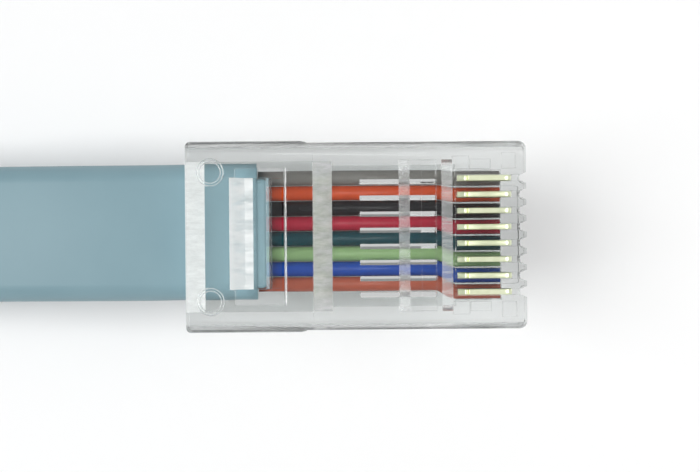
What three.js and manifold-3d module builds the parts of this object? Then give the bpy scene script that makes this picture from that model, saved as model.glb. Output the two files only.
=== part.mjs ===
// A flat console cable with eight wires and a clear modular plug on each end.
// One plug lies latch down with its nose along +X. The rest of the cable runs out behind it,
// turns on edge and is coiled like a roll of tape, with the second plug inside the coil.
// Millimetres, +Z up. The origin is on the floor, under the middle of the first plug.
import * as THREE from "three";
import { mergeVertices } from "three/addons/utils/BufferGeometryUtils.js";
import Module from "manifold-3d";

// Contacts and wires
const contactCount = 8;
const contactPitch = 1.016;
const contactLength = 3.37;
const contactSetback = 0.9;
const contactDepth = 0.58;
const contactNoseRadius = 0.41;
const bladeThickness = 0.35;
const bladeClearance = 0.035;
const bladeEndClearance = 0.05;
const bladeLift = 0.75;
const tineCount = 3;
const tineLength = 1;
const tineWidth = 0.5;
const tineTipWidth = 0.12;
const heelHeight = 0.4;
const heelLength = 0.45;
const heelNotchWidth = 0.12;
const heelNotchDepth = 0.14;
const wireSpacing = 0.086;
const wireGap = 0.025;
const wireSetback = 1.55;
const wireClearance = 0.1;
const channelClearance = 0.065;
const channelLead = 0.1;
const fanLength = 1.2;

// Flat cable
const jacketEdge = 0.48;
const jacketSkin = 0.785;
const cableOffset = 0.32;
const jacketInset = 4.34;
const jacketEndGap = 0.06;

// Plug body
const plugLength = 21.2;
const sideWall = 1.776;
const frontHeight = 6.6;
const rearBlockLength = 7.9;
const rearStep = 0.08;
const rearRise = 1.4;
const noseCornerRadius = 0.47;
const stepCornerRadius = 0.75;
const rearCornerRadius = 0.3;
const undersideEdgeRadius = 0.65;

// Room for the cable inside the body
const floorThickness = 0.9;
const jacketClearance = 0.1;
const jacketHeadroom = 0.5;
const jacketSideClearance = 0.08;
const funnelLength = 1.12;
const funnelFloorLength = 0.4;
const wireSideClearance = 0.3;
const grooveDepth = 0.28;
const grooveWidth = 0.33;
const grooveLength = 4.77;

// Contact slots and nose
const reliefDepth = 2.4;
const reliefGap = 0.08;
const noseNotchRadius = 0.34;

// Recess and cross groove in the top, counted back from the contacts
const recessGap = 1.33;
const recessDeepLength = 0.9;
const recessShallowLength = 0.75;
const recessSlopeLength = 0.69;
const recessWall = 1.78;
const recessStep = 0.9;
const recessMargin = 0.656;
const crossGrooveGap = 0.33;
const crossGrooveLength = 0.67;
const crossGrooveDepth = 1.2;
const crossGrooveEndSlope = 0.35;

// Window in the rear block, and the bar in it that presses on the jacket
const windowSetback = 3.05;
const windowLength = 2.99;
const windowEdge = 0.04;
const barSideInset = 0.82;
const barOffset = 0.2;
const barFrontGap = 0.14;
const barRidgeDrop = 1.9;
const barSlopeRun = 1.43;
const barSlopeStart = 0.32;
const barBendRun = 0.93;
const barBendDrop = 1.6;
const barRidgeLength = 0.81;
const barRidgeSlopeRun = 0.31;
const barToeHeight = 0.75;
const barHeelRun = 0.65;
const barHeelRise = 0.8;

// Round marks on the rear block, and the pockets in the underside
const markRadius = 0.875;
const markDepth = 0.08;
const markSetback = 1.54;
const markSpacing = 8;
const pocketDepth = 1.6;
const pocketWall = 0.11;
const pockets = [
  { setback: 4.52, length: 1.06, width: 0.8 },
  { setback: 3.4, length: 1.3, width: 0.6 },
  { setback: 1.4, length: 0.9, width: 1 },
];

// Latch lever under the body
const latchDrop = 4.1;
const latchWidth = 6.17;
const latchTailWidth = 3.25;
const latchTailRadius = 0.6;
const latchThickness = 0.92;
const latchLength = 17.5;
const latchShoulderSetback = 8.13;
const latchRootDrop = 1.02;
const latchNoseDrop = 0.8;
const latchRootSetback = 0.35;
const latchRootLength = 1.4;
const latchRootRadius = 0.6;
const latchBendSetback = 1.1;

// Coil and second plug
const coilRadius = 53;
const coilPitch = 3.1;
const coilTurns = 4.72;
const coilClearance = 0.37;
const coilDistance = 75;
const coilSegments = 48;
const farHeading = THREE.MathUtils.degToRad(140.8);
const farEntryFromCoil = [-11.5, -18.8];

// Depth that pieces share where they are joined, and how far a cut runs past a surface
const joint = 0.05;
const overCut = 1;

// Sizes that follow from the ones above
const rowHalf = ((contactCount - 1) / 2) * contactPitch;
const wireRadius = (contactPitch - wireSpacing) / 2;
const wirePitch = 2 * wireRadius + wireGap;
const channelRadius = wireRadius + channelClearance;
const cableWidth = contactCount * wirePitch + 2 * jacketEdge;
const cableThickness = 2 * (wireRadius + jacketSkin);
const frontHalf = (contactCount * contactPitch) / 2 + sideWall;
const rearHalf = frontHalf + rearStep;
const rearTop = frontHeight + rearRise;
const rearX = -plugLength / 2;
const noseX = plugLength / 2;
const stepX = rearX + rearBlockLength;
const jacketEndX = rearX + jacketInset;
const cableZ = floorThickness + jacketClearance + cableThickness / 2;
const jacketTop = cableZ + cableThickness / 2;
const jacketCeiling = jacketTop + jacketHeadroom;
const jacketRoomHalf = cableWidth / 2 + cableOffset + jacketSideClearance;
const wireFloor = cableZ - wireRadius - wireClearance;
const wireCeiling = cableZ + wireRadius + wireClearance;
const wireRoomHalf = (contactCount * wirePitch) / 2 + cableOffset + wireSideClearance;
const contactFrontX = noseX - contactSetback;
const contactRearX = contactFrontX - contactLength;
const channelX = contactRearX - channelLead;
const wireEndX = noseX - wireSetback;
const windowX = rearX + windowSetback;
const windowHalf = cableWidth / 2 - windowEdge;
const barHalf = cableWidth / 2 - barSideInset;
const recessFrontX = contactRearX - recessGap;
const coilCentre = new THREE.Vector2(-coilDistance, cableOffset + coilRadius);

const wasm = await Module();
wasm.setup();

// How far lane i lies to the +Y side, lane 0 being the first.
function lane(i, pitch) {
  return ((contactCount - 1) / 2 - i) * pitch;
}

// A closed outline through corners [u, v] or [u, v, radius of the rounding].
function outline(corners) {
  const shape = new THREE.Shape();
  const at = (i) => new THREE.Vector2(...corners.at(i % corners.length));
  const circleHandle = 0.448;
  corners.forEach((corner, i) => {
    const here = at(i);
    const radius = corner[2] ?? 0;
    const back = at(i - 1).sub(here).normalize().multiplyScalar(radius);
    const ahead = at(i + 1).sub(here).normalize().multiplyScalar(radius);
    const enter = here.clone().add(back);
    const leave = here.clone().add(ahead);
    if (i === 0) shape.moveTo(enter.x, enter.y);
    else shape.lineTo(enter.x, enter.y);
    if (radius > 0) {
      const first = here.clone().addScaledVector(back, circleHandle);
      const second = here.clone().addScaledVector(ahead, circleHandle);
      shape.bezierCurveTo(first.x, first.y, second.x, second.y, leave.x, leave.y);
    }
  });
  shape.closePath();
  return shape;
}

// A closed three.js geometry as a solid that can be joined and cut.
function solid(geometry) {
  const bare = geometry.clone();
  bare.deleteAttribute("normal");
  bare.deleteAttribute("uv");
  const merged = mergeVertices(bare, 1e-4);
  return new wasm.Manifold(
    new wasm.Mesh({
      numProp: 3,
      vertProperties: merged.attributes.position.array,
      triVerts: new Uint32Array(merged.index.array),
    }),
  );
}

// A prism from an outline in (x, y), standing from z0 to z1.
function upright(shape, z0, z1) {
  const options = { depth: z1 - z0, bevelEnabled: false, curveSegments: 4 };
  return solid(new THREE.ExtrudeGeometry(shape, options).translate(0, 0, z0));
}

// A prism from an outline in (x, z), running across the plug from y0 to y1.
function across(shape, y0, y1) {
  const options = { depth: y1 - y0, bevelEnabled: false, curveSegments: 4 };
  const prism = new THREE.ExtrudeGeometry(shape, options);
  return solid(prism.rotateX(Math.PI / 2).translate(0, y1, 0));
}

// A prism from an outline in (y, z), running along the plug from x0 to x1.
function lengthwise(shape, x0, x1) {
  const options = { depth: x1 - x0, bevelEnabled: false, curveSegments: 4 };
  const axes = new THREE.Matrix4().makeBasis(
    new THREE.Vector3(0, 1, 0),
    new THREE.Vector3(0, 0, 1),
    new THREE.Vector3(1, 0, 0),
  );
  const prism = new THREE.ExtrudeGeometry(shape, options);
  return solid(prism.applyMatrix4(axes).translate(x0, 0, 0));
}

// A box between two corners.
function block(x0, x1, y0, y1, z0, z1) {
  const box = new THREE.BoxGeometry(x1 - x0, y1 - y0, z1 - z0);
  return solid(box.translate((x0 + x1) / 2, (y0 + y1) / 2, (z0 + z1) / 2));
}

// An upright round bar.
function post(x, y, radius, z0, z1, sides) {
  const bar = new THREE.CylinderGeometry(radius, radius, z1 - z0, sides);
  return solid(bar.rotateX(Math.PI / 2).translate(x, y, (z0 + z1) / 2));
}

// A round bar along the plug.
function rod(y, z, radius, x0, x1, sides) {
  const bar = new THREE.CylinderGeometry(radius, radius, x1 - x0, sides);
  return solid(bar.rotateZ(Math.PI / 2).translate((x0 + x1) / 2, y, z));
}

// A solid as a flat-shaded geometry.
function faceted(shape) {
  const mesh = shape.getMesh();
  const geometry = new THREE.BufferGeometry();
  geometry.setAttribute("position", new THREE.BufferAttribute(mesh.vertProperties, 3));
  geometry.setIndex(new THREE.BufferAttribute(mesh.triVerts, 1));
  const flat = geometry.toNonIndexed();
  flat.computeVertexNormals();
  return flat;
}

// A path that a section follows station by station. Each station has its place and the
// direction of the section's width.
class Track extends THREE.Curve {
  constructor(stations) {
    super();
    this.places = stations.map((station) => station.place);
    this.widths = stations.map((station) => station.width);
  }

  getPoint(t, target = new THREE.Vector3()) {
    const last = this.places.length - 1;
    const i = Math.min(Math.floor(t * last), last - 1);
    return target.lerpVectors(this.places[i], this.places[i + 1], t * last - i);
  }

  getSpacedPoints() {
    return this.places;
  }

  computeFrenetFrames() {
    const last = this.places.length - 1;
    const tangents = this.places.map((place, i) => {
      const before = this.places[Math.max(i - 1, 0)];
      const after = this.places[Math.min(i + 1, last)];
      return after.clone().sub(before).normalize();
    });
    const normals = this.widths.map((width, i) => {
      const along = tangents[i].clone().multiplyScalar(width.dot(tangents[i]));
      return width.clone().sub(along).normalize();
    });
    const binormals = tangents.map((tangent, i) => tangent.clone().cross(normals[i]));
    return { tangents, normals, binormals };
  }
}

function sweep(section, stations, curveSegments) {
  const track = new Track(stations);
  const options = { steps: stations.length - 1, extrudePath: track, curveSegments };
  return new THREE.ExtrudeGeometry(section, options);
}

// Plug body: a wide, high rear block and a lower front block.
function bodyBlocks() {
  const rearPlan = outline([
    [rearX, -rearHalf, rearCornerRadius],
    [stepX, -rearHalf, stepCornerRadius],
    [stepX, rearHalf, stepCornerRadius],
    [rearX, rearHalf, rearCornerRadius],
  ]);
  const frontPlan = outline([
    [stepX - stepCornerRadius, -frontHalf],
    [noseX, -frontHalf, noseCornerRadius],
    [noseX, frontHalf, noseCornerRadius],
    [stepX - stepCornerRadius, frontHalf],
  ]);
  const section = outline([
    [-rearHalf, 0, undersideEdgeRadius],
    [rearHalf, 0, undersideEdgeRadius],
    [rearHalf, rearTop + overCut],
    [-rearHalf, rearTop + overCut],
  ]);
  const blocks = upright(rearPlan, 0, rearTop).add(upright(frontPlan, 0, frontHeight));
  return blocks.intersect(lengthwise(section, rearX - overCut, noseX + overCut));
}

// Hollow for the jacket and the loose wires: a flared mouth, a flat room, a slope down to
// the wire room, whose ceiling has one groove over each contact lane. Each groove has an
// upright side over the lane's middle and a sloped side towards the next lane.
function cableRoom() {
  const slopeDrop = jacketCeiling - wireCeiling;
  const floorRise = wireFloor - floorThickness;
  const jacketRoom = outline([
    [rearX - overCut, floorThickness - funnelFloorLength - overCut],
    [rearX + funnelFloorLength, floorThickness],
    [stepX, floorThickness],
    [stepX + floorRise, wireFloor],
    [stepX + slopeDrop, wireFloor],
    [stepX + slopeDrop, wireCeiling],
    [stepX, jacketCeiling],
    [rearX + funnelLength, jacketCeiling],
    [rearX - overCut, jacketCeiling + funnelLength + overCut],
  ]);
  let room = across(jacketRoom, -jacketRoomHalf, jacketRoomHalf);
  room = room.add(
    block(stepX, channelX, -wireRoomHalf, wireRoomHalf, wireFloor, wireCeiling),
  );
  for (let i = 0; i < contactCount; i += 1) {
    const y = lane(i, contactPitch);
    const groove = outline([
      [y - grooveWidth, wireCeiling - joint],
      [y, wireCeiling - joint],
      [y, wireCeiling + grooveDepth],
      [y - grooveWidth, wireCeiling],
    ]);
    room = room.add(lengthwise(groove, recessFrontX - grooveLength, recessFrontX));
  }
  return room;
}

// One contact lane: a channel for the wire's end with a round floor and a flat roof, a slot
// for the blade, a relief ahead of the blade and a notch in the nose.
function laneCut(i) {
  const y = lane(i, contactPitch);
  const slotHalf = bladeThickness / 2 + bladeClearance;
  const slotStart = contactRearX - bladeEndClearance;
  const slotEnd = contactFrontX + reliefGap;
  const top = frontHeight + overCut;
  const channelEnd = wireEndX + bladeEndClearance;
  const roof = cableZ + channelRadius;
  const roofHalf = contactPitch / 2 + joint;
  return rod(y, cableZ, channelRadius, channelX - joint, channelEnd, 12)
    .add(block(channelX - joint, channelEnd, y - roofHalf, y + roofHalf, cableZ, roof))
    .add(block(slotStart, slotEnd, y - slotHalf, y + slotHalf, cableZ + wireRadius / 2, top))
    .add(
      block(slotEnd - joint, noseX, y - slotHalf, y + slotHalf, frontHeight - reliefDepth, top),
    )
    .add(post(noseX, y, noseNotchRadius, -overCut, top, 12));
}

// Stepped recess and narrow cross groove in the top of the front block.
function topRecess() {
  const half = rowHalf + contactPitch / 2 + recessMargin;
  const deepX = recessFrontX - recessDeepLength;
  const shallowX = deepX - recessShallowLength;
  const deepFloor = wireCeiling + recessWall;
  const shallowFloor = deepFloor + recessStep;
  const profile = outline([
    [shallowX - recessSlopeLength, frontHeight],
    [shallowX, shallowFloor],
    [deepX, shallowFloor],
    [deepX, deepFloor],
    [recessFrontX, deepFloor],
    [recessFrontX, frontHeight + overCut],
    [shallowX - recessSlopeLength, frontHeight + overCut],
  ]);
  const grooveFloor = frontHeight - crossGrooveDepth;
  const endSlope = (crossGrooveEndSlope * (crossGrooveDepth + overCut)) / crossGrooveDepth;
  const crossGroove = outline([
    [-half + crossGrooveEndSlope, grooveFloor],
    [half - crossGrooveEndSlope, grooveFloor],
    [half - crossGrooveEndSlope + endSlope, frontHeight + overCut],
    [-half + crossGrooveEndSlope - endSlope, frontHeight + overCut],
  ]);
  const grooveEnd = contactRearX - crossGrooveGap;
  return across(profile, -half, half).add(
    lengthwise(crossGroove, grooveEnd - crossGrooveLength, grooveEnd),
  );
}

// Window down to the jacket, with the sloped start of the bar cut into its rear edge.
function windowCut() {
  const top = rearTop + overCut;
  const opening = block(
    windowX,
    windowX + windowLength,
    -windowHalf,
    windowHalf,
    jacketCeiling - joint,
    top,
  );
  const slopeStart = outline([
    [windowX - barSlopeStart, rearTop],
    [windowX + joint, rearTop - ((barSlopeStart + joint) * barBendDrop) / barBendRun],
    [windowX + joint, top],
    [windowX - barSlopeStart, top],
  ]);
  return opening.add(across(slopeStart, barOffset - barHalf, barOffset + barHalf));
}

// The bar hangs from the window's rear wall and ends just over the jacket.
function strainBar() {
  const bottom = jacketTop + jacketClearance;
  const bendX = windowX - barSlopeStart + barBendRun;
  const ridgeX = windowX - barSlopeStart + barSlopeRun;
  const frontX = windowX + windowLength - barFrontGap;
  const ridgeZ = rearTop - barRidgeDrop;
  const profile = outline([
    [windowX - joint, bottom + barHeelRise],
    [windowX, bottom + barHeelRise],
    [windowX + barHeelRun, bottom],
    [frontX, bottom],
    [frontX, bottom + barToeHeight],
    [ridgeX + barRidgeLength + barRidgeSlopeRun, bottom + barToeHeight],
    [ridgeX + barRidgeLength, ridgeZ],
    [ridgeX, ridgeZ],
    [bendX, rearTop - barBendDrop],
    [windowX - joint, rearTop - ((barSlopeStart - joint) * barBendDrop) / barBendRun],
  ]);
  return across(profile, barOffset - barHalf, barOffset + barHalf);
}

// Pockets in the underside on both sides of the contact row.
function undersidePockets() {
  const inner = rowHalf + channelRadius + pocketWall;
  const cuts = pockets.map(({ setback, length, width }) => {
    const x0 = noseX - setback;
    const right = block(x0, x0 + length, inner, inner + width, -overCut, pocketDepth);
    return right.add(block(x0, x0 + length, -inner - width, -inner, -overCut, pocketDepth));
  });
  return cuts[0].add(cuts[1]).add(cuts[2]);
}

// Lever from the nose back under the body: a wide part that ends in two locking shoulders
// and a narrower tail.
function latch() {
  const rootX = noseX - latchRootSetback;
  const bendX = noseX - latchBendSetback;
  const tailX = noseX - latchLength;
  const slope = (latchDrop - latchRootDrop) / (bendX - tailX);
  const lowerZ = (x) => -latchRootDrop - (bendX - x) * slope;
  const topStartX = rootX - latchRootLength;
  const profile = outline([
    [rootX, joint],
    [topStartX, joint],
    [topStartX, lowerZ(topStartX) + latchThickness],
    [tailX, lowerZ(tailX) + latchThickness],
    [tailX, lowerZ(tailX)],
    [bendX, lowerZ(bendX)],
    [rootX, -latchNoseDrop],
  ]);
  const shoulderX = noseX - latchShoulderSetback;
  const half = latchWidth / 2;
  const tailHalf = latchTailWidth / 2;
  const plan = outline([
    [noseX, -half, latchRootRadius],
    [noseX, half, latchRootRadius],
    [shoulderX, half],
    [shoulderX, tailHalf],
    [tailX, tailHalf, latchTailRadius],
    [tailX, -tailHalf, latchTailRadius],
    [shoulderX, -tailHalf],
    [shoulderX, -half],
  ]);
  return across(profile, -half, half).intersect(upright(plan, -latchDrop - overCut, overCut));
}

function plugHousing() {
  let body = bodyBlocks().subtract(cableRoom());
  for (let i = 0; i < contactCount; i += 1) body = body.subtract(laneCut(i));
  body = body.subtract(topRecess()).subtract(windowCut()).subtract(undersidePockets());
  for (const side of [-1, 1]) {
    const y = (side * markSpacing) / 2;
    const x = rearX + markSetback;
    body = body.subtract(
      post(x, y, markRadius, rearTop - markDepth, rearTop + overCut, 20),
    );
  }
  return body.add(strainBar()).add(latch());
}

// A contact blade: a flat spring-side edge with a rounded front and a small heel behind,
// and pointed tines that pierce the wire below.
function contactBlade() {
  const top = frontHeight - contactDepth;
  const bottom = cableZ + bladeLift;
  const heelX = contactRearX + heelLength;
  const tineRoom = wireEndX - contactRearX;
  const corners = [
    [contactRearX, bottom],
    [contactRearX, top - heelHeight],
    [heelX, top],
    [heelX + heelNotchWidth, top],
    [heelX + 1.5 * heelNotchWidth, top - heelNotchDepth],
    [heelX + 2 * heelNotchWidth, top],
    [contactFrontX, top, contactNoseRadius],
    [contactFrontX, bottom],
  ];
  for (let i = tineCount - 1; i >= 0; i -= 1) {
    const x = contactRearX + ((i + 0.5) * tineRoom) / tineCount;
    corners.push(
      [x + tineWidth / 2, bottom],
      [x + tineTipWidth / 2, bottom - tineLength],
      [x - tineTipWidth / 2, bottom - tineLength],
      [x - tineWidth / 2, bottom],
    );
  }
  return across(outline(corners), -bladeThickness / 2, bladeThickness / 2);
}

// A wire from the jacket's end to its channel. It steps sideways from the cable's pitch to
// the contacts' pitch, and the blade's slit is open in its top.
function wire(wireLane, contactLane) {
  const startY = cableOffset + wireLane;
  const fanStart = channelX - fanLength;
  const fanSteps = 4;
  const stations = [{ place: new THREE.Vector3(jacketEndX + jacketEndGap, startY, cableZ) }];
  for (let i = 0; i <= fanSteps; i += 1) {
    const t = i / fanSteps;
    const y = THREE.MathUtils.lerp(startY, contactLane, THREE.MathUtils.smoothstep(t, 0, 1));
    stations.push({ place: new THREE.Vector3(fanStart + t * fanLength, y, cableZ) });
  }
  stations.push({ place: new THREE.Vector3(wireEndX, contactLane, cableZ) });
  for (const station of stations) station.width = new THREE.Vector3(0, 1, 0);
  const circle = new THREE.Shape().absarc(0, 0, wireRadius, 0, 2 * Math.PI);
  const core = solid(sweep(circle, stations, 5));
  const slitHalf = bladeThickness / 2 + bladeClearance;
  const slit = block(
    contactRearX - bladeEndClearance,
    wireEndX + overCut,
    contactLane - slitHalf,
    contactLane + slitHalf,
    cableZ + bladeLift - tineLength - bladeEndClearance,
    cableZ + overCut,
  );
  return core.subtract(slit);
}

// Finishes
function finish(color, roughness, extra = {}) {
  return new THREE.MeshStandardMaterial({ color, roughness, metalness: 0, ...extra });
}

const clearPlastic = finish(0xe9eded, 0.08, { transparent: true, opacity: 0.35 });
const gold = finish(0xdcc98a, 0.25, { metalness: 1 });
const jacketPlastic = finish(0x93b4bf, 0.55);
const wireColours = {
  grey: 0x86867f,
  orange: 0xe2662c,
  black: 0x2b292c,
  red: 0xc83048,
  dark_green: 0x2c5c5c,
  light_green: 0x8abd66,
  blue: 0x3a55a8,
  brown: 0xa84c36,
};

// A whole plug in its own frame: nose along +X, contacts up, z = 0 on the underside.
function plug(prefix, colourOrder) {
  const group = new THREE.Group();
  const add = (name, geometry, material) => {
    const mesh = new THREE.Mesh(geometry, material);
    mesh.name = prefix + name;
    group.add(mesh);
    return mesh;
  };
  add("plug_housing", faceted(plugHousing()), clearPlastic);
  const blade = faceted(contactBlade());
  for (let i = 0; i < contactCount; i += 1) {
    const contact = add(`contact_${i + 1}`, blade, gold);
    contact.position.y = lane(i, contactPitch);
  }
  colourOrder.forEach((colour, i) => {
    const geometry = faceted(wire(lane(i, wirePitch), lane(i, contactPitch)));
    const number = Object.keys(wireColours).indexOf(colour) + 1;
    add(`wire_${number}_${colour}`, geometry, finish(wireColours[colour], 0.35));
  });
  return group;
}

// Flat section of the cable: its width along the section's first axis, with round edges.
function cableSection() {
  const half = cableWidth / 2 - cableThickness / 2;
  const section = new THREE.Shape();
  section.absarc(half, 0, cableThickness / 2, -Math.PI / 2, Math.PI / 2);
  section.absarc(-half, 0, cableThickness / 2, Math.PI / 2, 1.5 * Math.PI);
  return section;
}

// The cable runs level out of the first plug, sinks to the floor, turns on edge and stops
// just before the coil. Each point is [x, y, z, turn in degrees].
const levelZ = latchDrop + cableZ;
const leadPoints = [
  [jacketEndX, cableOffset, levelZ, 0],
  [rearX, cableOffset, levelZ, 0],
  [-13, 0.3, 6.35, 0],
  [-17.5, 0.3, 6.05, 0],
  [-23, 0.3, 5, 0],
  [-29, 0.3, 3.4, 0],
  [-35, 0.3, 1.95, 0],
  [-40, 0.3, 1.35, 2],
  [-44, 0.3, 1.6, 8],
  [-47, 0.3, 2.4, 24],
  [-50, 0.3, 3.25, 44],
  [-53, 0.3, 3.9, 63],
  [-56, 0.3, 4.25, 80],
  [-58, 0.3, 4.35, 87],
];

// Inside the coil the cable curls back on edge to the second plug, which lies on its side.
// Each point is [x, y, z], with x and y counted from the coil's centre.
const tailPoints = [
  [29.4, -19, 4.3],
  [27, -21.3, 4.3],
  [24.1, -23.2, 4.3],
  [20.9, -24.8, 4.35],
  [17.6, -26, 4.45],
  [14.1, -26.8, 4.65],
  [10.6, -27.2, 4.95],
  [7.1, -27.1, 5.3],
  [3.6, -26.7, 5.65],
  [0.2, -25.8, 5.95],
  [-3.1, -24.5, 6.15],
  [-6.2, -22.8, 6.23],
  [-9.1, -20.7, 6.24],
];

function leadStations() {
  return leadPoints.map(([x, y, z, turn]) => {
    const angle = THREE.MathUtils.degToRad(turn);
    return {
      place: new THREE.Vector3(x, y, z),
      width: new THREE.Vector3(0, Math.cos(angle), -Math.sin(angle)),
    };
  });
}

function tailStations(entry, heading) {
  const down = new THREE.Vector3(0, 0, -1);
  const stations = tailPoints.map(([x, y, z]) => ({
    place: new THREE.Vector3(coilCentre.x + x, coilCentre.y + y, z),
    width: down,
  }));
  const end = entry.clone().addScaledVector(heading, jacketInset);
  stations.push({ place: entry.clone(), width: down }, { place: end, width: down });
  return stations;
}

// Outer shape of the coiled turns, standing on the cable's edge.
function coilRing() {
  const outer = coilRadius + cableThickness / 2;
  const inner = coilRadius - coilTurns * coilPitch - cableThickness / 2 - coilClearance;
  const section = [
    new THREE.Vector2(inner, 0),
    new THREE.Vector2(outer, 0),
    new THREE.Vector2(outer, cableWidth),
    new THREE.Vector2(inner, cableWidth),
    new THREE.Vector2(inner, 0),
  ];
  return new THREE.LatheGeometry(section, coilSegments).rotateX(Math.PI / 2);
}

const cable = new THREE.Group();

const nearPlug = plug("", Object.keys(wireColours));
nearPlug.position.z = latchDrop;
cable.add(nearPlug);

// The second plug lies on its side with its contacts towards the coil's centre.
const farPlug = plug("far_", Object.keys(wireColours).reverse());
const farEntry = new THREE.Vector3(
  coilCentre.x + farEntryFromCoil[0],
  coilCentre.y + farEntryFromCoil[1],
  rearHalf + cableOffset,
);
farPlug.rotation.set(Math.PI / 2, 0, farHeading, "ZYX");
const farMouth = new THREE.Vector3(rearX, cableOffset, cableZ).applyEuler(farPlug.rotation);
farPlug.position.copy(farEntry).sub(farMouth);
cable.add(farPlug);

const lead = new THREE.Mesh(sweep(cableSection(), leadStations(), 2), jacketPlastic);
lead.name = "cable_lead";
cable.add(lead);

const ring = new THREE.Mesh(coilRing(), jacketPlastic);
ring.name = "cable_coil";
ring.position.set(coilCentre.x, coilCentre.y, 0);
cable.add(ring);

const farDirection = new THREE.Vector3(Math.cos(farHeading), Math.sin(farHeading), 0);
const tailTrack = tailStations(farEntry, farDirection);
const tail = new THREE.Mesh(sweep(cableSection(), tailTrack, 2), jacketPlastic);
tail.name = "cable_tail";
cable.add(tail);

export default cable;
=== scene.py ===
"""A flat console cable: a clear modular plug with eight coloured wires, its flat jacket running
out behind it into a coil, and the second plug inside the coil."""
from math import cos, pi, radians, sin

import bmesh
import bpy
from mathutils import Matrix, Vector


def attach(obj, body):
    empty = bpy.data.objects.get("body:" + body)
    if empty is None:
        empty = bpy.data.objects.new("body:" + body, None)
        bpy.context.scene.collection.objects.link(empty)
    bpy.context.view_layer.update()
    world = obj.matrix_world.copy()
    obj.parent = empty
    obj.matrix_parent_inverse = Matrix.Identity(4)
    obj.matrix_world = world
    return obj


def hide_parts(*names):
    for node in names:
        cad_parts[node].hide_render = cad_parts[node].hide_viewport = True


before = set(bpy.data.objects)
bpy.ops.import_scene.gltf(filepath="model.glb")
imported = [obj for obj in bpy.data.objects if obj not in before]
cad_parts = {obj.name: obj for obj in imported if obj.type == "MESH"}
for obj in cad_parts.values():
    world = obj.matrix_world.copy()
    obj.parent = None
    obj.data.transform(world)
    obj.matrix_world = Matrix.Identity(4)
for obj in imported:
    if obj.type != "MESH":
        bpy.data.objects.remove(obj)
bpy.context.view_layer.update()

MM = 0.001

# The camera looks straight down on the contact side through a long lens, which shows
# 43.6 mm from left to right at the height of the front block's top.
view_width = 43.6 * MM
view_distance = 0.25
view_centre = Vector((-0.4 * MM, 0.0, 0.0))
camera_turn = radians(-0.5)
front_top = 10.7 * MM
sensor_width = 36.0
camera_data = bpy.data.cameras.new("camera")
camera_data.sensor_width = sensor_width
camera_data.lens = sensor_width * view_distance / view_width
camera_data.clip_start = 0.01
camera_data.clip_end = 10.0
camera = bpy.data.objects.new("camera", camera_data)
camera.location = view_centre + Vector((0.0, 0.0, front_top + view_distance))
camera.rotation_euler = (0.0, 0.0, camera_turn)
bpy.context.scene.collection.objects.link(camera)
bpy.context.scene.camera = camera


# The jacket is one extruded band of soft vinyl, 8.6 mm wide and 2.5 mm thick with round
# edges. It runs level out of the first plug, sinks to the floor, turns on edge and is
# coiled, and its end curls back inside the coil to the second plug.
class Signal:
    """A value or colour in a material, which can be added and multiplied."""

    def __init__(self, finish, socket):
        self.finish = finish
        self.socket = socket

    def combine(self, operation, first, second):
        return self.finish.node("ShaderNodeMath", {"operation": operation}, {0: first, 1: second})

    def __add__(self, other):
        return self.combine("ADD", self, other)

    def __radd__(self, other):
        return self.combine("ADD", other, self)

    def __sub__(self, other):
        return self.combine("SUBTRACT", self, other)

    def __rsub__(self, other):
        return self.combine("SUBTRACT", other, self)

    def __mul__(self, other):
        return self.combine("MULTIPLY", self, other)

    def __rmul__(self, other):
        return self.combine("MULTIPLY", other, self)


class Finish:
    """A material, made node by node."""

    def __init__(self, name):
        self.material = bpy.data.materials.new(name)
        self.material.use_nodes = True
        self.tree = self.material.node_tree
        self.tree.nodes.clear()

    def node(self, kind, settings=None, sockets=None, output=0):
        made = self.tree.nodes.new(kind)
        for key, value in (settings or {}).items():
            setattr(made, key, value)
        for key, value in (sockets or {}).items():
            if isinstance(value, Signal):
                self.tree.links.new(value.socket, made.inputs[key])
            else:
                made.inputs[key].default_value = value
        return Signal(self, made.outputs[output]) if made.outputs else made

    def place(self):
        return self.node("ShaderNodeTexCoord", output="Object")

    def noise(self, scale, detail=2.0, roughness=0.5, place=None):
        sockets = {"Vector": place or self.place(), "Scale": scale}
        sockets.update({"Detail": detail, "Roughness": roughness})
        return self.node("ShaderNodeTexNoise", {}, sockets, "Fac")

    def ramp(self, value, low, high):
        sockets = {"Value": value, "From Min": low, "From Max": high}
        return self.node("ShaderNodeMapRange", {"clamp": True}, sockets, "Result")

    def blend(self, factor, first, second):
        sockets = {"Factor": factor, 6: first, 7: second}
        return self.node("ShaderNodeMix", {"data_type": "RGBA"}, sockets, 2)

    def bump(self, height, distance, strength):
        sockets = {"Height": height, "Distance": distance, "Strength": strength}
        return self.node("ShaderNodeBump", {}, sockets, "Normal")

    def surface(self, sockets):
        return self.node("ShaderNodeBsdfPrincipled", {}, sockets, "BSDF")

    def output(self, shader):
        self.node("ShaderNodeOutputMaterial", {}, {"Surface": shader})
        return self.material


def linear(red, green, blue):
    """An on-screen colour, 0 to 255, as the renderer's own values."""
    shares = [value / 255.0 for value in (red, green, blue)]
    steep = [v / 12.92 if v <= 0.04045 else ((v + 0.055) / 1.055) ** 2.4 for v in shares]
    return (*steep, 1.0)


latch_drop = 4.1 * MM
plug_half = 10.6 * MM
cable_width = 8.6 * MM
cable_thickness = 2.5 * MM
cable_offset = 0.32 * MM
cable_z = 2.25 * MM
jacket_inset = 4.34 * MM
jacket_facets = 28
coil_radius = 52.6 * MM
coil_pitch = 3.05 * MM
coil_turns = 4.72
coil_points = 60
coil_centre = Vector((-75.0 * MM, 53.32 * MM, 0.0))
on_edge_z = cable_width / 2
route_steps = 4

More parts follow.
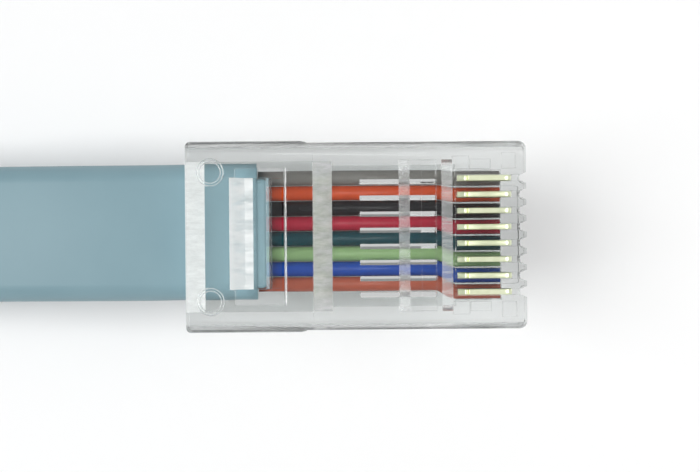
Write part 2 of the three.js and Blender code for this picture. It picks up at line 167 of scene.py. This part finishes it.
# Each lead point is x, y, z in millimetres and the band's turn in degrees.
lead_points = [
    (-6.26, 0.32, 6.35, 0),
    (-10.6, 0.32, 6.35, 0),
    (-13.0, 0.3, 6.35, 0),
    (-17.5, 0.3, 6.05, 0),
    (-23.0, 0.3, 5.0, 0),
    (-29.0, 0.3, 3.4, 0),
    (-35.0, 0.3, 1.95, 0),
    (-40.0, 0.3, 1.42, 2),
    (-44.0, 0.3, 1.75, 8),
    (-47.0, 0.3, 2.4, 24),
    (-50.0, 0.3, 3.25, 44),
    (-53.0, 0.3, 3.9, 63),
    (-56.0, 0.3, 4.25, 80),
    (-58.0, 0.3, 4.35, 87),
    (-62.0, 0.36, 4.3, 90),
    (-68.0, 0.54, 4.3, 90),
]

# Each tail point is x, y, z in millimetres, with x and y counted from the coil's centre.
tail_points = [
    (38.2, 0.1, 4.3),
    (36.9, -6.8, 4.3),
    (34.0, -13.3, 4.3),
    (29.4, -19.0, 4.3),
    (27.0, -21.3, 4.3),
    (24.1, -23.2, 4.3),
    (20.9, -24.8, 4.35),
    (17.6, -26.0, 4.45),
    (14.1, -26.8, 4.65),
    (10.6, -27.2, 4.95),
    (7.1, -27.1, 5.3),
    (3.6, -26.7, 5.65),
    (0.2, -25.8, 5.95),
    (-3.1, -24.5, 6.15),
    (-6.2, -22.8, 6.23),
    (-9.1, -20.7, 6.24),
]
far_entry = coil_centre + Vector((-11.5, -18.8, 6.24)) * MM
far_heading = radians(140.8)
far_direction = Vector((cos(far_heading), sin(far_heading), 0.0))

# Each plug has its own frame, with its nose along +X and its underside at z = 0. The second
# plug lies on its side at the end of the jacket.
far_turn = Matrix.Rotation(far_heading, 4, "Z") @ Matrix.Rotation(pi / 2, 4, "X")
far_mouth = far_turn @ Vector((-plug_half, cable_offset, cable_z))
plug_frames = {
    "": Matrix.Translation((0.0, 0.0, latch_drop)),
    "far_": Matrix.Translation(far_entry - far_mouth) @ far_turn,
}

# The bar presses the jacket's end into a thin lip over the wires.
jacket_end_x = -6.26 * MM
lip_length = 0.62 * MM
lip_overlap = 0.4 * MM
lip_half = 3.42 * MM
lip_offset = 0.2 * MM
lip_thickness = 0.6 * MM
lip_round = 0.24 * MM
lip_z = 3.1 * MM


def smooth(points, steps):
    """Points on one smooth curve through the given ones, as lists of numbers."""
    dense = []
    last = len(points) - 1
    for i in range(last):
        here, there = points[i], points[i + 1]
        before, after = points[max(i - 1, 0)], points[min(i + 2, last)]
        leave = [h + (t - b) / 6 for h, t, b in zip(here, there, before)]
        enter = [t - (a - h) / 6 for h, t, a in zip(here, there, after)]
        for step in range(steps):
            t = step / steps
            weights = ((1 - t) ** 3, 3 * t * (1 - t) ** 2, 3 * t * t * (1 - t), t**3)
            corners = zip(here, leave, enter, there)
            dense.append([sum(w * c for w, c in zip(weights, corner)) for corner in corners])
    dense.append(list(points[last]))
    return dense


def coil_stations():
    stations = []
    for i in range(int(coil_turns * coil_points) + 1):
        angle = -pi / 2 - 2 * pi * i / coil_points
        radius = coil_radius - coil_pitch * i / coil_points
        x = coil_centre.x + radius * cos(angle)
        y = coil_centre.y + radius * sin(angle)
        stations.append([x, y, on_edge_z, 90])
    return stations


def cable_route():
    """The whole centreline, from the first jacket end to the second: x, y, z and turn."""
    lead = [[x * MM, y * MM, z * MM, turn] for x, y, z, turn in lead_points]
    tail = [[coil_centre.x + x * MM, coil_centre.y + y * MM, z * MM, 90] for x, y, z in tail_points]
    tail.append([*far_entry, 90])
    tail.append([*(far_entry + far_direction * jacket_inset), 90])
    coil = coil_stations()
    first, final = coil[0], coil[-1]
    return smooth(lead + [first], route_steps)[:-1] + coil[:-1] + smooth([final] + tail, route_steps)


def bands(places, turns):
    """One matrix for each place: width, thickness and direction of travel, then the place."""
    last = len(places) - 1
    matrices = []
    for i, place in enumerate(places):
        ahead = (places[min(i + 1, last)] - places[max(i - 1, 0)]).normalized()
        level = ahead.cross(Vector((0.0, 0.0, 1.0))).normalized()
        upward = level.cross(ahead)
        width = level * cos(turns[i]) - upward * sin(turns[i])
        thick = ahead.cross(width)
        matrix = Matrix((width, thick, ahead)).transposed().to_4x4()
        matrices.append(Matrix.Translation(place) @ matrix)
    return matrices


def sweep(mesh, matrices):
    """Draws the mesh's one open ring, made in the plane of x and y, along the matrices."""
    edges = mesh.edges[:]
    bmesh.ops.transform(mesh, matrix=matrices[0], verts=mesh.verts[:])
    for before, matrix in zip(matrices, matrices[1:]):
        drawn = bmesh.ops.extrude_edge_only(mesh, edges=edges)["geom"]
        corners = [part for part in drawn if isinstance(part, bmesh.types.BMVert)]
        bmesh.ops.transform(mesh, matrix=matrix @ before.inverted(), verts=corners)
        fresh = set(corners)
        edges = [
            part for part in drawn
            if isinstance(part, bmesh.types.BMEdge) and fresh.issuperset(part.verts)
        ]
    open_edges = [edge for edge in mesh.edges if edge.is_boundary]
    bmesh.ops.holes_fill(mesh, edges=open_edges)
    bmesh.ops.recalc_face_normals(mesh, faces=mesh.faces[:])
    for face in mesh.faces:
        face.smooth = len(face.verts) == 4


def make_piece(name, mesh, material):
    data = bpy.data.meshes.new(name)
    mesh.to_mesh(data)
    mesh.free()
    data.materials.append(material)
    piece = bpy.data.objects.new(name, data)
    bpy.context.scene.collection.objects.link(piece)
    return piece


def jacket_vinyl():
    finish = Finish("jacket_vinyl")
    mottle = finish.noise(scale=180.0, detail=3.0)
    colour = finish.blend(mottle, linear(117, 147, 157), linear(130, 159, 168))
    grain = finish.noise(scale=6000.0, roughness=0.6)
    return finish.output(finish.surface({
        "Base Color": colour,
        "Roughness": finish.ramp(mottle, 0.2, 0.8) * 0.08 + 0.42,
        "Normal": finish.bump(grain, distance=0.01 * MM, strength=0.4),
    }))


route = cable_route()
route_places = [Vector(point[:3]) for point in route]
route_turns = [radians(point[3]) for point in route]
jacket_mesh = bmesh.new()
bmesh.ops.create_circle(jacket_mesh, segments=jacket_facets, radius=cable_thickness / 2)
half_facet = Matrix.Rotation(pi / jacket_facets, 4, "Z")
bmesh.ops.transform(jacket_mesh, matrix=half_facet, verts=jacket_mesh.verts[:])
for side in (-1, 1):
    shift = Vector((side * (cable_width - cable_thickness) / 2, 0.0, 0.0))
    half = [v for v in jacket_mesh.verts if v.co.x * side > 0 and abs(v.co.x) < cable_thickness]
    bmesh.ops.translate(jacket_mesh, vec=shift, verts=half)
sweep(jacket_mesh, bands(route_places, route_turns))
for plug_frame in plug_frames.values():
    squeezed = bmesh.ops.create_cube(jacket_mesh, size=1.0)["verts"]
    size = Matrix.Diagonal((lip_length + lip_overlap, 2 * lip_half, lip_thickness, 1.0))
    middle = Vector((jacket_end_x + (lip_length - lip_overlap) / 2, lip_offset, lip_z))
    place = plug_frame @ Matrix.Translation(middle) @ size
    bmesh.ops.transform(jacket_mesh, matrix=place, verts=squeezed)
    bmesh.ops.bevel(
        jacket_mesh, geom=list({edge for vert in squeezed for edge in vert.link_edges}),
        offset=lip_round, offset_type="OFFSET", segments=3,
        profile=0.5, affect="EDGES", clamp_overlap=True, material=-1,
    )
jacket = make_piece("cable_jacket", jacket_mesh, jacket_vinyl())
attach(jacket, "root")
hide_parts("cable_lead", "cable_coil", "cable_tail")


# Each plug body is one clear polycarbonate moulding, with its latch lever and the bar that
# presses on the jacket. Its edges are broken by the mould's small radii. The slopes inside
# are textured, and their milky white, like that on the underside's rounded edges, the groove
# floor and the window's front wall, is partly painted reflection and painted light that
# lightens dark refraction lines. The cable's mouth is painted white for the reflection its
# slope shows, and the bar's slope is crazed white where the crimping tool pushed it down.
polycarbonate_index = 1.58
polycarbonate_tint = (0.825, 0.84, 0.835, 1.0)
# A white that the surface scatters. In the mouth and on the textured faces it is painted reflection
# and painted light.
scatter_white_and_painted_reflection = (0.95, 0.97, 0.965, 1.0)
shadow_tint = (0.95, 0.96, 0.96, 1.0)
edge_break = 0.06 * MM
flat_angle = radians(1)
facet_width = 0.35 * MM
corner_angle = radians(30)
rounding_angle = radians(60)


def clear_plastic(name, roughness, milk, streaks):
    """Moulded polycarbonate. Milk is the share of light that its surface scatters, and
    streaks are how much that share varies in lines along the plug. In the cable's mouth that
    scattered white is painted reflection, and on the textured faces it is partly painted
    reflection and painted light."""
    finish = Finish(name)
    flow = finish.noise(scale=900.0, detail=3.0)
    haze = finish.noise(scale=220.0, detail=3.0)
    polish = finish.ramp(haze, 0.3, 0.7)
    lengthwise = finish.node(
        "ShaderNodeVectorMath", {"operation": "MULTIPLY"},
        {0: finish.place(), 1: (0.12, 1.0, 0.3)}, "Vector",
    )
    scores = finish.noise(scale=3200.0, detail=4.0, roughness=0.7, place=lengthwise)
    scored = finish.ramp(scores, 0.3, 0.7)
    body = finish.surface({
        "Base Color": polycarbonate_tint,
        "Roughness": polish * 0.03 + roughness,
        "IOR": polycarbonate_index,
        "Specular Tint": (0.6, 0.6, 0.6, 1.0),
        "Transmission Weight": 1.0,
        "Normal": finish.bump(flow, distance=0.02 * MM, strength=0.15),
    })
    white_scatter = finish.surface({"Base Color": scatter_white_and_painted_reflection, "Roughness": 0.5})
    share = polish * 0.003 + milk + (scored - 0.5) * streaks
    skin = finish.node("ShaderNodeMixShader", {}, {0: share, 1: body, 2: white_scatter})
    lamp_path = finish.node("ShaderNodeLightPath", output="Is Shadow Ray")
    through = finish.node("ShaderNodeBsdfTransparent", {}, {"Color": shadow_tint})
    lit = finish.node("ShaderNodeMixShader", {}, {0: lamp_path, 1: skin, 2: through})
    return finish.output(lit)


bar_half = 3.5 * MM
bar_rear_x = -7.95 * MM
bar_ridge_x = -6.4 * MM
bar_low_z = 5.9 * MM
mouth_front_x = -9.3 * MM
step_x = -2.7 * MM
slope_length = 1.3 * MM
underside_curve = 0.7 * MM
underside_half = 5.2 * MM
top_slopes_x = (2.6 * MM, 6.1 * MM)
top_slopes_z = 5.2 * MM
slope_share = 0.28
least_slant = 0.252
most_slant = 0.944
groove_x = (5.3 * MM, 6.05 * MM)
groove_floor = 5.4 * MM
window_front_x = -4.56 * MM
window_draft = 0.24 * MM
window_foot_z = 4.1 * MM
window_half = 4.0 * MM
rear_top = 8.0 * MM
near = 0.02 * MM


def plug_surface(face, to_plug):
    """How a face looks: crazed by the crimping tool on the bar's slope, painted white in the
    cable's mouth as a painted reflection, milky white on the slopes inside and on a few other
    faces as texture together with painted reflection and painted light, and polished everywhere
    else."""
    x, y, z = to_plug @ face.calc_center_median()
    direction = to_plug.to_3x3() @ face.normal
    slanted = least_slant < abs(direction.z) < most_slant
    if slanted and bar_rear_x < x < bar_ridge_x and z > bar_low_z and abs(y) < bar_half:
        return "crazed"
    # Painted reflection: the mouth's slope gets a white that stands in for the white surroundings it
    # reflects.
    if slanted and x < mouth_front_x and abs(direction.x) > slope_share:
        return "mouth_painted_reflection"
    # Painted light: the milky white on the step, the top slopes, the underside's rounded edges, the
    # groove floor and the window's front wall is partly texture, and partly painted reflection,
    # painted highlight and a lightening of dark refraction lines.
    on_step = step_x < x < step_x + slope_length and abs(direction.x) > slope_share
    on_top = top_slopes_x[0] < x < top_slopes_x[1] and z > top_slopes_z
    under_edge = z < underside_curve and abs(y) > underside_half
    in_groove = groove_x[0] < x < groove_x[1] and abs(z - groove_floor) < near
    on_front_wall = 0 < x - window_front_x + near < window_draft and z > window_foot_z
    on_slope = slanted and (on_step or on_top or under_edge)
    return "texture_and_painted_light" if on_slope or in_groove or on_front_wall else "polished"


def whole_faces(node):
    """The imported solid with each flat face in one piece."""
    mesh = bmesh.new()
    mesh.from_mesh(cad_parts[node].data)
    bmesh.ops.remove_doubles(mesh, verts=mesh.verts[:], dist=1e-7)
    bmesh.ops.dissolve_limit(
        mesh, angle_limit=flat_angle, verts=mesh.verts[:], edges=mesh.edges[:]
    )
    return mesh


def break_edges(mesh, edges, width, segments):
    return bmesh.ops.bevel(
        mesh, geom=edges, offset=width, offset_type="OFFSET", segments=segments,
        profile=0.5, affect="EDGES", clamp_overlap=True, material=-1,
    )["faces"]


def refined(node, name, material, mesh, width):
    """The solid with its edges broken. Flat faces stay flat, and narrow facets of a curve
    are shaded as one surface."""
    angles = {edge: edge.calc_face_angle(0.0) for edge in mesh.edges}
    for face in mesh.faces:
        gentle = any(flat_angle < angles[edge] < corner_angle for edge in face.edges)
        longest = max(edge.calc_length() for edge in face.edges)
        face.smooth = gentle and face.calc_area() < facet_width * longest
    corners = [edge for edge, angle in angles.items() if angle > corner_angle]
    for face in break_edges(mesh, corners, width, 2):
        face.smooth = True
    for edge in mesh.edges:
        edge.smooth = edge.calc_face_angle(0.0) < rounding_angle
    piece = make_piece(name, mesh, material)
    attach(piece, "root")
    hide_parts(node)
    return piece


def is_window_lip(edge, to_plug):
    """Whether an edge is the top edge of the window's front wall, which leans forward."""
    ends = [to_plug @ vert.co for vert in edge.verts]
    across = abs(ends[0].y - ends[1].y) > window_half
    return across and all(
        abs(end.x - window_front_x) < near and abs(end.z - rear_top) < near for end in ends
    )


# The mouth's look paints a reflection white, and the textured look is partly texture and partly
# painted reflection and painted light.
plastics = {
    "polished": clear_plastic("clear_plastic", roughness=0.01, milk=0.001, streaks=0.0),
    "texture_and_painted_light": clear_plastic("texture_and_painted_light_plastic", roughness=0.14, milk=0.22, streaks=0.15),
    "crazed": clear_plastic("crazed_plastic", roughness=0.3, milk=0.7, streaks=0.9),
    "mouth_painted_reflection": clear_plastic("mouth_painted_reflection_plastic", roughness=0.25, milk=0.8, streaks=0.2),
}
looks = list(plastics)
for prefix, plug_frame in plug_frames.items():
    to_plug = plug_frame.inverted()
    moulding = whole_faces(prefix + "plug_housing")
    lips = [edge for edge in moulding.edges if is_window_lip(edge, to_plug)]
    corners = {vert for edge in lips for vert in edge.verts}
    lean = plug_frame.to_3x3() @ Vector((window_draft, 0.0, 0.0))
    bmesh.ops.translate(moulding, vec=lean, verts=list(corners))
    body = refined(
        prefix + "plug_housing", prefix + "clear_body", plastics["polished"], moulding, edge_break
    )
    for look in looks[1:]:
        body.data.materials.append(plastics[look])
    mesh = bmesh.new()
    mesh.from_mesh(body.data)
    for face in mesh.faces:
        face.material_index = looks.index(plug_surface(face, to_plug))
    mesh.to_mesh(body.data)
    mesh.free()


# The mould's pins leave a pair of fine raised rings in each round mark on the rear block.
# The rings are the same plastic as the body, and part of its moulding.
mark_x = -9.06 * MM
mark_half = 4.0 * MM
mark_floor = 7.92 * MM
ring_radii = (0.82 * MM, 0.66 * MM)
ring_tube = 0.03 * MM
ring_facets = 8
ring_steps = 48
for prefix, plug_frame in plug_frames.items():
    mesh = bmesh.new()
    for side in (-1, 1):
        for radius in ring_radii:
            centre = Vector((mark_x, side * mark_half, mark_floor))
            profile = bmesh.ops.create_circle(mesh, segments=ring_facets, radius=ring_tube)["verts"]
            outward = Matrix.Translation(centre + Vector((radius, 0.0, 0.0)))
            upright = Matrix.Rotation(pi / 2, 4, "X")
            bmesh.ops.transform(mesh, matrix=outward @ upright, verts=profile)
            edges = list({edge for vert in profile for edge in vert.link_edges})
            bmesh.ops.spin(
                mesh, geom=profile + edges, cent=centre, axis=(0.0, 0.0, 1.0), dvec=(0.0, 0.0, 0.0),
                angle=2 * pi, steps=ring_steps, use_merge=True, use_duplicate=False,
            )
    bmesh.ops.recalc_face_normals(mesh, faces=mesh.faces[:])
    for face in mesh.faces:
        face.smooth = True
    bmesh.ops.transform(mesh, matrix=plug_frame, verts=mesh.verts[:])
    rings = make_piece(prefix + "mould_pin_rings", mesh, plastics["texture_and_painted_light"])
    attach(rings, "root")


# Eight contacts are stamped from thin copper alloy, plated with pale gold, and pressed into
# the plug's slots until their points pierce the wires.
def plated_contact():
    finish = Finish("plated_contact")
    rub = finish.noise(scale=2600.0, detail=3.0)
    return finish.output(finish.surface({
        "Base Color": finish.blend(rub, linear(240, 246, 208), linear(248, 252, 222)),
        "Metallic": 1.0,
        "Roughness": rub * 0.15 + 0.3,
    }))


contact_count = 8
blade_edge_break = 0.03 * MM
plating = plated_contact()
for prefix in ("", "far_"):
    for i in range(1, contact_count + 1):
        node = f"{prefix}contact_{i}"
        blade = refined(node, f"{prefix}blade_{i}", plating, whole_faces(node), blade_edge_break)


# The eight wires leave the jacket side by side, step over to the contacts' spacing and end
# under the contacts. Each has smooth coloured insulation.
wire_colours = {
    "grey": (115, 112, 108),
    "orange": (190, 70, 30),
    "black": (20, 17, 21),
    "red": (160, 26, 50),
    "dark_green": (8, 58, 66),
    "light_green": (132, 163, 112),
    "blue": (24, 66, 152),
    "brown": (166, 84, 64),
}
wire_radius = 0.465 * MM
wire_pitch = 0.955 * MM
contact_pitch = 1.016 * MM
wire_facets = 24
wire_start = -6.2 * MM
fan_start = 5.03 * MM
fan_end = 6.23 * MM
wire_end = 9.05 * MM
fan_steps = 10
darkening = 0.82


def insulation(name, colour):
    finish = Finish("insulation_" + name)
    tint = finish.noise(scale=1500.0)
    dark = (*(darkening * value for value in colour[:3]), 1.0)
    return finish.output(finish.surface({
        "Base Color": finish.blend(tint, dark, colour),
        "Roughness": tint * 0.08 + 0.18,
        "Specular IOR Level": 0.2,
    }))


def wire_route(lane):
    start_y = cable_offset + lane * wire_pitch
    end_y = lane * contact_pitch
    places = [Vector((wire_start, start_y, cable_z))]
    for step in range(fan_steps + 1):
        t = step / fan_steps
        ease = t * t * (3 - 2 * t)
        x = fan_start + (fan_end - fan_start) * t
        places.append(Vector((x, start_y + (end_y - start_y) * ease, cable_z)))
    places.append(Vector((wire_end, end_y, cable_z)))
    return places


insulations = {name: insulation(name, linear(*rgb)) for name, rgb in wire_colours.items()}
for prefix, plug_frame in plug_frames.items():
    order = list(wire_colours) if prefix == "" else list(wire_colours)[::-1]
    for position, name in enumerate(order):
        number = list(wire_colours).index(name) + 1
        places = wire_route((contact_count - 1) / 2 - position)
        mesh = bmesh.new()
        bmesh.ops.create_circle(mesh, segments=wire_facets, radius=wire_radius)
        sweep(mesh, bands(places, [0.0] * len(places)))
        bmesh.ops.transform(mesh, matrix=plug_frame, verts=mesh.verts[:])
        wire = make_piece(f"{prefix}insulated_{name}", mesh, insulations[name])
        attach(wire, "root")
        "wire_" + name
        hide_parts(f"{prefix}wire_{number}_{name}")


# The cable lies on white paper under soft studio light: two softboxes high up at the plug's
# ends, and two dim ones low at its sides, which light the grooves over the wires.
paper_white = (0.9, 0.9, 0.9, 1.0)
paper_half = 2.0
sky_strength = 0.36
high_size = (0.34, 0.34)
low_size = (0.8, 0.22)


def floor_paper():
    finish = Finish("floor_paper")
    return finish.output(finish.surface({"Base Color": paper_white, "Roughness": 0.9}))


floor_mesh = bmesh.new()
bmesh.ops.create_grid(floor_mesh, x_segments=1, y_segments=1, size=paper_half)
floor = make_piece("floor", floor_mesh, floor_paper())

world = bpy.data.worlds.new("studio")
world.use_nodes = True
sky = world.node_tree.nodes["Background"]
sky.inputs["Color"].default_value = (1.0, 1.0, 1.0, 1.0)
sky.inputs["Strength"].default_value = sky_strength
bpy.context.scene.world = world
bpy.context.scene.view_settings.view_transform = "Standard"


def softbox(name, place, size, power):
    """A lamp that faces the plug. Its place and size are in metres, its power in watts."""
    data = bpy.data.lights.new(name, "AREA")
    data.shape = "RECTANGLE"
    data.size, data.size_y = size
    data.energy = power
    lamp = bpy.data.objects.new(name, data)
    lamp.location = place
    lamp.rotation_euler = Vector(place).to_track_quat("Z", "Y").to_euler()
    bpy.context.scene.collection.objects.link(lamp)


softbox("key_light", (-0.33, 0.0, 0.44), high_size, 1.65)
softbox("fill_light", (0.33, 0.02, 0.44), high_size, 1.45)
softbox("side_light", (0.0, -0.55, 0.14), low_size, 0.2)
softbox("back_light", (0.0, 0.55, 0.14), low_size, 0.19)
